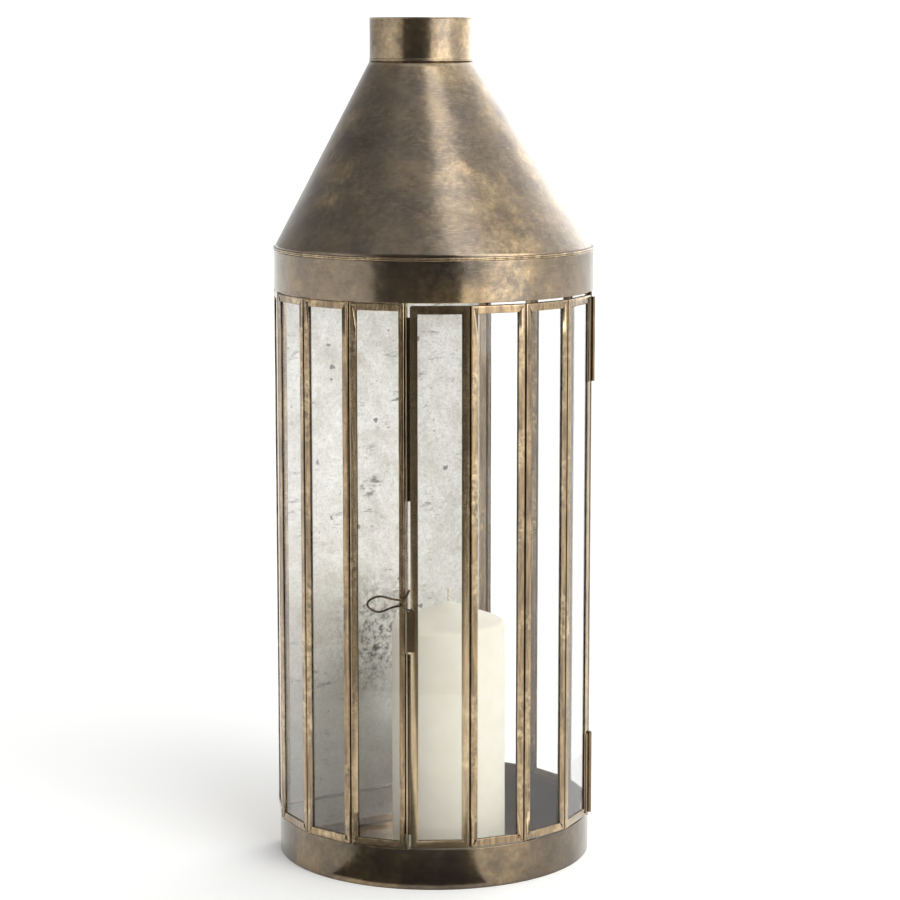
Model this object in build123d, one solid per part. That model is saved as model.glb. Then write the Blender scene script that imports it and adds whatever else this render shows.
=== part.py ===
"""Mirror-backed candle lantern in patinated brass sheet and brass glazing channel.

All sizes are millimetres.  The origin is the centre of the round front, on the
plane that the lantern stands on.  +Z is up and the door faces -Y.  Places round
the front are given as an angle from the middle of the door, positive towards +X.
"""
from build123d import *
from math import asin, cos, degrees, radians, sin, tan
import os

# ---- overall sizes ----
PANE_CORNER_RADIUS = 113.1     # circle through the panes' outer corners
PANE_ANGLE = 21.2              # turn from one pane to the next
PANES_IN_DOOR = 4
PANES_PER_SIDE = 4
FRAME_HEIGHT = 374.0           # fixed pane frames, bottom to top
BASE_HEIGHT = 28.5             # base ring, bottom to top
BASE_STEP = 2.1                # base ring's round front, inside the corner circle
BAND_HEIGHT = 29.0
BAND_STEP = 1.1                # roof band's round front, inside the corner circle
CONE_HEIGHT = 129.0            # cone, from the band to the collar
COLLAR_RADIUS = 36.0           # outside of the chimney collar
COLLAR_HEIGHT = 30.0
COLLAR_OFFSET = 16.0           # collar axis, behind the centre of the round front

# ---- sheet metal ----
SHEET = 1.0                    # wall of the base, band, cone and collar
FLANGE = 7.0                   # width of the turned-in edges that carry the frames
SEAM_HEIGHT = 2.2              # folded seam between cone and band
SEAM_PROUD = 0.5
BEAD_HEIGHT = 1.6              # bead round the foot of the collar
BEAD_PROUD = 0.5
BACK_SHEET_THICKNESS = 0.8

# ---- glazing ----
FRAME_THICKNESS = 3.5          # channel, outside face to inside face
FRAME_FACE = 5.0               # width of the channel's upright bars
FRAME_RAIL = 5.5               # width of the channel's top and bottom bars
GLASS_THICKNESS = 2.0
GLASS_GRIP = 3.0               # how far the glass runs into the channel
GLASS_EDGE_GAP = 0.3           # glass edge to the bottom of the groove
MIRROR_THICKNESS = 2.0
MIRROR_SIDE_GAP = 0.4          # mirror frame to the panes beside it

# ---- door ----
DOOR_TOP_GAP = 1.8
DOOR_BOTTOM_GAP = 1.0
DOOR_EDGE_GAP = 1.9            # free edge of the door to the fixed pane's corner line
DOOR_HINGE_GAP = 0.9
DOOR_CORNER = 1.6              # rounding of the door's upper free corner
FREE_EDGE_BAR = 3.8            # width of the fixed bar beside the door's free edge
LIP_GAP = 0.8                  # that bar to the upright lip next to it
LIP_WIDTH = 1.0
LIP_RECESS = 1.2               # lip's edge, behind the outside of the frames
STOP_WIDTH = 7.0               # strips behind the door's free edge
STOP_THICKNESS = 1.0
STOP_CLEARANCE = 0.3
STOP_LAP = 4.0                 # how far a strip reaches in from the corner line
UPPER_STOP_LENGTH = 123.6
UPPER_STOP_DROP = 9.6          # top of the upper strip, below the top of the frames
LOWER_STOP_LENGTH = 126.0
LOWER_STOP_RISE = 10.0         # foot of the lower strip, above the base ring

# ---- hinges ----
HINGE_LENGTH = 58.0
HINGE_END_DISTANCE = 2.0       # hinge end to the end of the door
BARREL_RADIUS = 1.5
BARREL_STAND_OFF = 0.9         # barrel axis, outside the corner circle
PIN_RADIUS = 0.7
PIN_CLEARANCE = 0.05
PIN_HEAD_RADIUS = 1.3
PIN_HEAD_HEIGHT = 0.8
LEAF_THICKNESS = 0.6
LEAF_LAP = 4.0                 # how far a leaf laps onto its frame
KNUCKLE_GAP = 0.25
BARREL_CLEARANCE = 0.4         # barrel to the frames and the other leaf

# ---- handle ----
WIRE_RADIUS = 0.75
LOOP_CENTRE_HEIGHT = 171.6     # loop, above the base ring
LOOP_HEIGHT = 10.4             # between the wire's centre lines
LOOP_REACH = 29.0              # tip of the loop to the door's edge
LOOP_BULGE = 22.3              # widest place of the loop to the door's edge
# Loop between its tip and the staple: distance as a share of the free length, from the
# staple, and height as a share of half the loop's height.
UPPER_LEG = ((0.0, 0.50), (0.24, 0.54), (0.60, 0.81), (1.0, 1.0))
LOWER_LEG = ((1.0, -1.0), (0.60, -0.64), (0.24, -0.28), (0.0, -0.26))
STAPLE_REACH = 4.1             # upright of the staple to the door's edge
STAPLE_TOP = 9.3               # ends of the staple, above and below the loop's centre
STAPLE_FOOT = -4.4
STAPLE_LAP = 0.8               # how far the staple's foot laps onto the door
# Bow of the staple: distance as a share of its reach, height as a share of its top or foot.
STAPLE_SHOULDERS = ((0.62, 0.64), (1.0, 0.30))
STAPLE_KNEES = ((1.0, 0.45), (0.50, 0.88))
TAB_GAP = 0.2                  # foot of the staple to the tab
TAB_WIDTH = 5.0
TAB_HEIGHT = 28.0
TAB_THICKNESS = 0.8

# ---- candle ----
CANDLE_RADIUS = 40.0
CANDLE_HEIGHT = 181.4          # up to the peak that the wick stands in
CANDLE_PEAK = 14.7             # rise of the peaked top above the wall
CANDLE_SHOULDER = 5.0          # radius between the wall and the peaked top
CANDLE_FORWARD = 19.0          # candle axis, in front of the centre
WICK_RADIUS = 1.0
WICK_HEIGHT = 8.5
WICK_SUNK = 6.0

MATCH = 0.01                   # tolerance for picking out an edge

# ---- worked out ----
BASE_RADIUS = PANE_CORNER_RADIUS - BASE_STEP
BAND_RADIUS = PANE_CORNER_RADIUS - BAND_STEP
HALF_ANGLE = PANE_ANGLE * (PANES_IN_DOOR / 2 + PANES_PER_SIDE)
DOOR_HALF_ANGLE = PANE_ANGLE * PANES_IN_DOOR / 2
HALF_PANE = PANE_ANGLE / 2
FACE_DISTANCE = PANE_CORNER_RADIUS * cos(radians(HALF_PANE))
INNER_DISTANCE = FACE_DISTANCE - FRAME_THICKNESS
INNER_CORNER_RADIUS = INNER_DISTANCE / cos(radians(HALF_PANE))
FRAME_WIDTH = 2 * INNER_DISTANCE * tan(radians(HALF_PANE))
BACK_RATIO = -cos(radians(HALF_ANGLE))

PANES_BOTTOM = BASE_HEIGHT
PANES_TOP = PANES_BOTTOM + FRAME_HEIGHT
BAND_TOP = PANES_TOP + BAND_HEIGHT
CONE_TOP = BAND_TOP + CONE_HEIGHT
DOOR_BOTTOM = PANES_BOTTOM + DOOR_BOTTOM_GAP
DOOR_TOP = PANES_TOP - DOOR_TOP_GAP
UPPER_STOP_BOTTOM = PANES_TOP - UPPER_STOP_DROP - UPPER_STOP_LENGTH
LOWER_STOP_BOTTOM = PANES_BOTTOM + LOWER_STOP_RISE
FLOOR_TOP = SHEET

MIRROR_HALF_WIDTH = INNER_CORNER_RADIUS * sin(radians(HALF_ANGLE)) - MIRROR_SIDE_GAP
MIRROR_OUTER_Y = (BASE_RADIUS * BACK_RATIO) - SHEET
MIRROR_INNER_Y = MIRROR_OUTER_Y - FRAME_THICKNESS

HINGE_RADIUS = PANE_CORNER_RADIUS + BARREL_STAND_OFF


def round_point(angle, radius, height=0.0):
    """Point at an angle from the middle of the door, on a circle."""
    return Vector(radius * sin(radians(angle)), -radius * cos(radians(angle)), height)


def pane_place(angle, distance, height):
    """Frame with X along the pane, Y inwards and Z up, facing out at an angle."""
    return Location(round_point(angle, distance, height), (0, 0, angle))


def pane_direction(angle):
    """Direction along a pane that faces out at an angle, towards the hinge side."""
    return Vector(cos(radians(angle)), sin(radians(angle)), 0)


def outline(radius, back, height):
    """D-shaped outline: a round front closed by a straight back."""
    reach = degrees(asin(back / radius)) + 90
    left = round_point(-reach, radius, height)
    right = round_point(reach, radius, height)
    front = ThreePointArc(left, round_point(0, radius, height), right)
    return Wire([front.edge(), Edge.make_line(right, left)])


def slab(radius, back, bottom, top):
    """Solid D-shaped slab."""
    face = Face(outline(radius, back, bottom))
    return Solid.extrude(face, Vector(0, 0, top - bottom))


def ring(radius, back, wall, bottom, top):
    """D-shaped wall of sheet metal."""
    return slab(radius, back, bottom, top) - slab(radius - wall, back - wall, bottom, top)


def flange(radius, back, bottom):
    """Turned-in edge along the round front, left open at the flat back."""
    plate = slab(radius - SHEET, back - SHEET, bottom, bottom + SHEET)
    opening = slab(radius - FLANGE, back - SHEET, bottom, bottom + SHEET)
    pocket = Pos(0, MIRROR_INNER_Y, bottom + SHEET / 2) * Box(
        2 * (MIRROR_HALF_WIDTH + MIRROR_SIDE_GAP), 2 * FRAME_THICKNESS, SHEET,
        align=(Align.CENTER, Align.MIN, Align.CENTER))
    return plate - opening - pocket


def base_ring():
    back = BASE_RADIUS * BACK_RATIO
    wall = ring(BASE_RADIUS, back, SHEET, 0, BASE_HEIGHT)
    return wall + flange(BASE_RADIUS, back, BASE_HEIGHT - SHEET)


def floor_plate():
    radius = BASE_RADIUS - SHEET
    return slab(radius, BASE_RADIUS * BACK_RATIO - SHEET, 0, FLOOR_TOP)


def roof_band():
    back = BAND_RADIUS * BACK_RATIO
    wall = ring(BAND_RADIUS, back, SHEET, PANES_TOP, BAND_TOP)
    return wall + flange(BAND_RADIUS, back, PANES_TOP)


def oblique_cone(inset):
    """Solid between the band's outline and the collar's circle, drawn in by a wall."""
    back = BAND_RADIUS * BACK_RATIO - inset
    top_radius = COLLAR_RADIUS - inset
    foot = outline(BAND_RADIUS - inset, back, BAND_TOP)
    centre = Vector(0, COLLAR_OFFSET, 0)
    left = centre + round_point(-HALF_ANGLE, top_radius, CONE_TOP)
    right = centre + round_point(HALF_ANGLE, top_radius, CONE_TOP)
    front = ThreePointArc(left, centre + round_point(0, top_radius, CONE_TOP), right)
    rear = ThreePointArc(right, centre + round_point(180, top_radius, CONE_TOP), left)
    head = Wire([front.edge(), rear.edge()])
    return Solid.make_loft([foot, head], ruled=True)


def roof_cone():
    shell = oblique_cone(0) - oblique_cone(SHEET)
    seam_radius = BAND_RADIUS + SEAM_PROUD
    seam_back = BAND_RADIUS * BACK_RATIO + SEAM_PROUD
    seam_bottom = BAND_TOP - SEAM_HEIGHT / 2
    seam = slab(seam_radius, seam_back, seam_bottom, BAND_TOP + SEAM_HEIGHT / 2)
    band_room = slab(BAND_RADIUS, seam_back - SEAM_PROUD, seam_bottom, BAND_TOP)
    return shell + (seam - band_room - oblique_cone(SHEET))


def tube(radius, wall, bottom, top):
    height = top - bottom
    middle = Pos(0, COLLAR_OFFSET, (bottom + top) / 2)
    return middle * (Cylinder(radius, height) - Cylinder(radius - wall, height))


def chimney_collar():
    wall = tube(COLLAR_RADIUS, SHEET, CONE_TOP, CONE_TOP + COLLAR_HEIGHT)
    bead = tube(COLLAR_RADIUS + BEAD_PROUD, SHEET, CONE_TOP, CONE_TOP + BEAD_HEIGHT)
    rim_bottom = CONE_TOP + COLLAR_HEIGHT - BEAD_HEIGHT / 2
    rim = tube(COLLAR_RADIUS + BEAD_PROUD / 2, SHEET, rim_bottom, CONE_TOP + COLLAR_HEIGHT)
    return wall + bead + rim


def channel_frame(width, height, groove):
    """Mitred channel frame standing on Z = 0, its outer face on Y = 0."""
    blank = Box(width, FRAME_THICKNESS, height, align=(Align.CENTER, Align.MIN, Align.MIN))
    window = Pos(0, 0, FRAME_RAIL) * Box(
        width - 2 * FRAME_FACE, FRAME_THICKNESS, height - 2 * FRAME_RAIL,
        align=(Align.CENTER, Align.MIN, Align.MIN))
    return blank - window - glazing(width, height, groove, 0)


def glazing(width, height, thickness, edge_gap):
    """Sheet that fills the groove of a channel frame, short of it by a gap."""
    grip = GLASS_GRIP - edge_gap
    lift = FRAME_RAIL - grip
    start = (FRAME_THICKNESS - thickness) / 2
    return Pos(0, start, lift) * Box(
        width - 2 * FRAME_FACE + 2 * grip, thickness, height - 2 * lift,
        align=(Align.CENTER, Align.MIN, Align.MIN))


def door_turn():
    """Angle of the door's middle: the door keeps its gap at the free edge."""
    edge_space = DOOR_EDGE_GAP - DOOR_HINGE_GAP
    return degrees(edge_space / 2 / INNER_CORNER_RADIUS)


def door_pane_angle():
    """Turn between the door's panes, which share what the two edge gaps leave."""
    lost = degrees((DOOR_EDGE_GAP + DOOR_HINGE_GAP) / INNER_CORNER_RADIUS)
    return PANE_ANGLE - lost / PANES_IN_DOOR


def door_frame_width():
    return 2 * INNER_DISTANCE * tan(radians(door_pane_angle() / 2))


def door_angles():
    middle = (PANES_IN_DOOR - 1) / 2
    return [door_turn() + (number - middle) * door_pane_angle() for number in range(PANES_IN_DOOR)]


def side_angles():
    return [DOOR_HALF_ANGLE + (number + 0.5) * PANE_ANGLE for number in range(PANES_PER_SIDE)]


def glazed_pane(angle, width, bottom, top):
    """Frame and glass of one pane, in place."""
    place = pane_place(angle, FACE_DISTANCE, bottom)
    frame = place * channel_frame(width, top - bottom, GLASS_THICKNESS)
    glass = place * glazing(width, top - bottom, GLASS_THICKNESS, GLASS_EDGE_GAP)
    return frame, glass


def mirror_parts():
    """Mirror, its channel frame and the sheet that closes the back."""
    width = 2 * MIRROR_HALF_WIDTH
    place = Location((0, MIRROR_OUTER_Y, FLOOR_TOP), (0, 0, 180))
    height = PANES_TOP - FLOOR_TOP
    frame = place * channel_frame(width, height, MIRROR_THICKNESS)
    glass = place * glazing(width, height, MIRROR_THICKNESS, GLASS_EDGE_GAP)
    sheet = Pos(0, MIRROR_OUTER_Y, PANES_BOTTOM) * Box(
        width, BACK_SHEET_THICKNESS, FRAME_HEIGHT, align=(Align.CENTER, Align.MIN, Align.MIN))
    return frame, glass, sheet


def narrow_bar(frame):
    """Fixed frame beside the door's free edge, with its outer bar trimmed narrower."""
    trimmed = pane_place(-side_angles()[0], FACE_DISTANCE, PANES_BOTTOM)
    edge = Pos(FRAME_WIDTH / 2 - FRAME_FACE + FREE_EDGE_BAR, 0, 0) * Box(
        FRAME_FACE, FRAME_THICKNESS, FRAME_HEIGHT, align=(Align.MIN, Align.MIN, Align.MIN))
    return frame - trimmed * edge


def edge_lip():
    """Upright lip in the gap beside the door's free edge, standing on the stops."""
    place = pane_place(-side_angles()[0], FACE_DISTANCE, PANES_BOTTOM)
    start = FRAME_WIDTH / 2 - FRAME_FACE + FREE_EDGE_BAR + LIP_GAP
    return place * Pos(start, LIP_RECESS, 0) * Box(
        LIP_WIDTH, FRAME_THICKNESS - LIP_RECESS, FRAME_HEIGHT,
        align=(Align.MIN, Align.MIN, Align.MIN))


def door_stop(bottom, height):
    """Strip soldered inside the fixed frame, lapping behind the door's free edge."""
    place = pane_place(-side_angles()[0], INNER_DISTANCE, bottom)
    strip = Pos(FRAME_WIDTH / 2 - STOP_LAP, 0, 0) * Box(
        STOP_WIDTH, STOP_THICKNESS, height, align=(Align.MIN, Align.MIN, Align.MIN))
    door_side = pane_place(door_angles()[0], INNER_DISTANCE - STOP_CLEARANCE, bottom)
    door_room = door_side * Box(
        FRAME_WIDTH, 4 * FRAME_THICKNESS, height, align=(Align.CENTER, Align.MAX, Align.MIN))
    return place * strip - door_room


def rounded_corner(frame):
    """Door frame of the free edge, with its upper outer corner rounded."""
    corner = round_point(door_angles()[0], FACE_DISTANCE, DOOR_TOP)
    corner += pane_direction(door_angles()[0]) * (-door_frame_width() / 2)
    edges = [edge for edge in frame.edges() if abs(edge.center().Z - DOOR_TOP) < MATCH]
    edges = [edge for edge in edges if abs(edge.length - FRAME_THICKNESS) < MATCH]
    nearest = min(edges, key=lambda edge: (edge.center() - corner).length)
    return fillet(nearest, DOOR_CORNER)


def hinge_axis():
    return round_point(DOOR_HALF_ANGLE, HINGE_RADIUS)


def hinge_bottoms():
    low = DOOR_BOTTOM + HINGE_END_DISTANCE
    high = DOOR_TOP - HINGE_END_DISTANCE - HINGE_LENGTH
    return {"lower": low, "upper": high}


def upright(radius, bottom, top):
    """Round bar on the hinge axis."""
    centre = hinge_axis()
    return Pos(centre.X, centre.Y, bottom) * Cylinder(
        radius, top - bottom, align=(Align.CENTER, Align.CENTER, Align.MIN))


def knuckle_spans(bottom):
    """Lower and upper ends of the three knuckles: fixed, door, fixed."""
    step = HINGE_LENGTH / 3
    inset = KNUCKLE_GAP / 2
    lower = (bottom, bottom + step - inset)
    middle = (bottom + step + inset, bottom + 2 * step - inset)
    upper = (bottom + 2 * step + inset, bottom + HINGE_LENGTH)
    return [lower, middle, upper]


def leaf(angle, width, side, bottom, own):
    """Hinge leaf on a frame: side is +1 where the barrel is towards +X, own its knuckles."""
    centre = hinge_axis()
    axis_reach = abs(centre.dot(pane_direction(angle)))
    plate_start = width / 2 - LEAF_LAP
    plate_end = axis_reach - BARREL_RADIUS - BARREL_CLEARANCE
    place = pane_place(angle, FACE_DISTANCE, 0)

    def plate(start, end, low, high):
        return place * Pos(side * (start + end) / 2, 0, (low + high) / 2) * Box(
            end - start, LEAF_THICKNESS, high - low, align=(Align.CENTER, Align.MAX, Align.CENTER))

    body = plate(plate_start, plate_end, bottom, bottom + HINGE_LENGTH)
    for number in own:
        low, high = knuckle_spans(bottom)[number]
        body += plate(plate_end, axis_reach, low, high)
        body += upright(BARREL_RADIUS, low, high)
    return body - upright(PIN_RADIUS + PIN_CLEARANCE, bottom, bottom + HINGE_LENGTH)


def hinge_pin(bottom):
    top = bottom + HINGE_LENGTH
    return upright(PIN_RADIUS, bottom, top) + upright(PIN_HEAD_RADIUS, top, top + PIN_HEAD_HEIGHT)


def hinge_room(frame):
    """Frame with its corner relieved where the barrels turn."""
    for bottom in hinge_bottoms().values():
        frame -= upright(BARREL_RADIUS + BARREL_CLEARANCE, bottom - BARREL_CLEARANCE,
                         bottom + HINGE_LENGTH + PIN_HEAD_HEIGHT + BARREL_CLEARANCE)
    return frame


def handle_place():
    """Frame on the face of the door's free-edge pane: X = 0 at its edge, Z = 0 at the loop."""
    width = door_frame_width()
    height = PANES_BOTTOM + LOOP_CENTRE_HEIGHT
    return pane_place(door_angles()[0], FACE_DISTANCE, height) * Pos(-width / 2, 0, 0)


def bent_wire(points):
    """Round wire along a smooth line through points."""
    path = Spline(*points)
    section = Plane(path @ 0, z_dir=path % 0) * Circle(WIRE_RADIUS)
    return sweep(section, path=path)


def handle_wire():
    """Drop-shaped finger loop, its two legs soldered to a bowed staple on the door's edge."""
    front = -WIRE_RADIUS
    free = LOOP_BULGE - STAPLE_REACH

    def leg(shape):
        return [(-STAPLE_REACH - x * free, front, z * LOOP_HEIGHT / 2) for x, z in shape]

    loop = bent_wire(leg(UPPER_LEG) + [(-LOOP_REACH, front, 0)] + leg(LOWER_LEG))
    shoulders = [(-x * STAPLE_REACH, front, z * STAPLE_TOP) for x, z in STAPLE_SHOULDERS]
    knees = [(-x * STAPLE_REACH, front, z * STAPLE_FOOT) for x, z in STAPLE_KNEES]
    top = (-WIRE_RADIUS, WIRE_RADIUS / 2, STAPLE_TOP)
    foot = (STAPLE_LAP, front, STAPLE_FOOT)
    staple = bent_wire([top] + shoulders + knees + [foot])
    return handle_place() * (loop + staple)


def handle_tab():
    """Sheet tab over the gap, just below the staple's foot."""
    top = STAPLE_FOOT - WIRE_RADIUS - TAB_GAP
    return handle_place() * Pos(FRAME_FACE / 2, 0, top) * Box(
        TAB_WIDTH, TAB_THICKNESS, TAB_HEIGHT, align=(Align.MAX, Align.MAX, Align.MAX))


def candle():
    """Pillar candle with a peaked top, rounded where the top meets the wall."""
    wall_height = CANDLE_HEIGHT - CANDLE_PEAK
    upwards = (Align.CENTER, Align.CENTER, Align.MIN)
    wall = Cylinder(CANDLE_RADIUS, wall_height, align=upwards)
    peak = Pos(0, 0, wall_height) * Cone(CANDLE_RADIUS, WICK_RADIUS, CANDLE_PEAK, align=upwards)
    body = wall + peak
    rims = body.edges().filter_by(GeomType.CIRCLE).group_by(Axis.Z)
    body = fillet(rims[1], CANDLE_SHOULDER)
    return Pos(0, -CANDLE_FORWARD, FLOOR_TOP) * (body - wick_bar())


def wick_bar():
    """Wick standing in the candle's peak."""
    return Pos(0, 0, CANDLE_HEIGHT - WICK_SUNK) * Cylinder(
        WICK_RADIUS, WICK_SUNK + WICK_HEIGHT, align=(Align.CENTER, Align.CENTER, Align.MIN))


def wick():
    return Pos(0, -CANDLE_FORWARD, FLOOR_TOP) * wick_bar()


def all_parts():
    parts = {
        "base_ring": base_ring(),
        "floor_plate": floor_plate(),
        "roof_band": roof_band(),
        "roof_cone": roof_cone(),
        "chimney_collar": chimney_collar(),
    }
    parts["mirror_frame"], parts["mirror_glass"], parts["back_sheet"] = mirror_parts()
    for side, sign in (("left", -1), ("right", 1)):
        for number, angle in enumerate(side_angles(), start=1):
            frame, glass = glazed_pane(sign * angle, FRAME_WIDTH, PANES_BOTTOM, PANES_TOP)
            parts[f"{side}_frame_{number}"] = frame
            parts[f"{side}_glass_{number}"] = glass
    for number, angle in enumerate(door_angles(), start=1):
        frame, glass = glazed_pane(angle, door_frame_width(), DOOR_BOTTOM, DOOR_TOP)
        parts[f"door_frame_{number}"] = frame
        parts[f"door_glass_{number}"] = glass
    last = f"door_frame_{PANES_IN_DOOR}"
    parts[last] = hinge_room(parts[last])
    parts["right_frame_1"] = hinge_room(parts["right_frame_1"])
    for name, bottom in hinge_bottoms().items():
        parts[f"{name}_hinge_fixed_leaf"] = leaf(side_angles()[0], FRAME_WIDTH, -1, bottom, (0, 2))
        parts[f"{name}_hinge_door_leaf"] = leaf(
            door_angles()[-1], door_frame_width(), 1, bottom, (1,))
        parts[f"{name}_hinge_pin"] = hinge_pin(bottom)
    parts["door_frame_1"] = rounded_corner(parts["door_frame_1"])
    parts["left_frame_1"] = narrow_bar(parts["left_frame_1"])
    parts["edge_lip"] = edge_lip()
    parts["upper_door_stop"] = door_stop(UPPER_STOP_BOTTOM, UPPER_STOP_LENGTH)
    parts["lower_door_stop"] = door_stop(LOWER_STOP_BOTTOM, LOWER_STOP_LENGTH)
    parts["handle_wire"] = handle_wire()
    parts["handle_tab"] = handle_tab()
    parts["candle"] = candle()
    parts["wick"] = wick()
    return parts


def main():
    os.makedirs("parts", exist_ok=True)
    for name, shape in all_parts().items():
        export_step(shape, f"parts/{name}.step")


main()
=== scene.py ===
"""Looks of the mirror-backed candle lantern: patinated brass, glass, foxed mirror and wax."""

import math

import bmesh
import bpy
from mathutils import Matrix, Vector, noise


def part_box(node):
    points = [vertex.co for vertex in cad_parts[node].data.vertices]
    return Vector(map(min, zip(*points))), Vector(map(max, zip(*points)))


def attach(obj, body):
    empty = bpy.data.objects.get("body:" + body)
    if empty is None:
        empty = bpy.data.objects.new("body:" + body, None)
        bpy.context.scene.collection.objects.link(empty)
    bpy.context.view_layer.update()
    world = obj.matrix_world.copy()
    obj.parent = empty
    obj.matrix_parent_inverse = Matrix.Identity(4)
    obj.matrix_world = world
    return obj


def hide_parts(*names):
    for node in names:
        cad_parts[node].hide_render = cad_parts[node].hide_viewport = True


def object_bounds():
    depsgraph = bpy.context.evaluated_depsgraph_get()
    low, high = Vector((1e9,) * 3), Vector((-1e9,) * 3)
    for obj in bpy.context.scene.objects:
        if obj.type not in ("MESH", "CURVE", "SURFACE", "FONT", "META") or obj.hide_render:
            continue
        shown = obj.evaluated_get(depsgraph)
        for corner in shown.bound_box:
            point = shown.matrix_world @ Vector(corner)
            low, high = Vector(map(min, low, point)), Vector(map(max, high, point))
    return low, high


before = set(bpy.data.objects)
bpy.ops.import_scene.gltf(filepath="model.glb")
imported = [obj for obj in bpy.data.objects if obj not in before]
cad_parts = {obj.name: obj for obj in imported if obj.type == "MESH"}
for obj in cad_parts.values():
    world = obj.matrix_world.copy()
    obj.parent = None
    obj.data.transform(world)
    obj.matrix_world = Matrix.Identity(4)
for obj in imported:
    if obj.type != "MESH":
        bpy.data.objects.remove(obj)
cad_low, cad_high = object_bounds()

MM = 0.001


# ---------------------------------------------------------------- small helpers

def linear(code, alpha=1.0):
    """A colour for a shader, from its sRGB hex value."""
    parts = [int(code[i:i + 2], 16) / 255 for i in (1, 3, 5)]
    bent = [c / 12.92 if c <= 0.04045 else ((c + 0.055) / 1.055) ** 2.4 for c in parts]
    return (*bent, alpha)


def per(size):
    """Texture scale, per metre, of a pattern that repeats about every size millimetres."""
    return 1.0 / (size * MM)


def add(tree, kind, values=None, **settings):
    """Adds a node. values sets or links its inputs, and settings its other properties."""
    made = tree.nodes.new(kind)
    for key, value in settings.items():
        setattr(made, key, value)
    for key, value in (values or {}).items():
        socket = made.inputs[key]
        if isinstance(value, bpy.types.NodeSocket):
            tree.links.new(value, socket)
        else:
            socket.default_value = value
    return made


def material(name):
    """A new material and its empty tree."""
    made = bpy.data.materials.new(name)
    made.use_nodes = True
    made.node_tree.nodes.clear()
    return made, made.node_tree


def finish(look, shade):
    """A material whose tree ends in a shader."""
    add(look.node_tree, "ShaderNodeOutputMaterial", {"Surface": shade.outputs[0]})
    return look


def new_piece(name, mesh, look, smooth=True):
    """An object at the origin that shows a mesh whose place is in its vertices."""
    piece = bpy.data.objects.new(name, mesh)
    bpy.context.scene.collection.objects.link(piece)
    mesh.materials.clear()
    mesh.materials.append(look)
    mesh.polygons.foreach_set("use_smooth", [smooth] * len(mesh.polygons))
    return piece


def close_up(mesh, merge=1e-7):
    """Merges a mesh's doubled corners and turns its faces outwards."""
    shape = bmesh.new()
    shape.from_mesh(mesh)
    bmesh.ops.remove_doubles(shape, verts=shape.verts, dist=merge)
    bmesh.ops.recalc_face_normals(shape, faces=shape.faces)
    shape.to_mesh(mesh)
    shape.free()


def fit(piece, body, slot, *nodes):
    """Says what a piece moves with and what it stands for; slot is not used."""
    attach(piece, body)
    if nodes:
        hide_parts(*nodes)


def repaint(node, look):
    """Gives a CAD node's object its finish."""
    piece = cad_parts[node]
    piece.data.materials.clear()
    piece.data.materials.append(look)


# ---------------------------------------------------------------- finishes

def spots(tree, place, size, low, high, detail=4.0, rough=0.6, bend=0.0, turn=0.0):
    """Soft-edged patches of a size in millimetres, from 0 outside them to 1 inside."""
    cloud = add(tree, "ShaderNodeTexNoise", {
        "Vector": place, "W": turn, "Scale": per(size), "Detail": detail, "Roughness": rough,
        "Distortion": bend}, noise_dimensions="4D")
    return add(tree, "ShaderNodeMapRange", {
        "Value": cloud.outputs["Fac"], "From Min": low, "From Max": high},
        interpolation_type="SMOOTHSTEP").outputs["Result"]


def layer(tree, under, over, mask, strength=1.0):
    """A tone laid over another where a mask shows, as far as its strength."""
    share = add(tree, "ShaderNodeMath", {0: mask, 1: strength}, operation="MULTIPLY").outputs[0]
    return add(tree, "ShaderNodeMix", {0: share, 6: under, 7: over}, data_type="RGBA").outputs[2]


def grime_and_crease_shade(tree, reach):
    """Share of a surface that is tucked into a crease: dark there partly because polish doesn't reach it, and
    partly as painted shade.
    """
    hidden = add(tree, "ShaderNodeAmbientOcclusion", {"Distance": reach * MM}, samples=4).outputs["AO"]
    return add(tree, "ShaderNodeMapRange", {
        "Value": hidden, "From Min": 0.75, "From Max": 0.25}).outputs["Result"]


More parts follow.
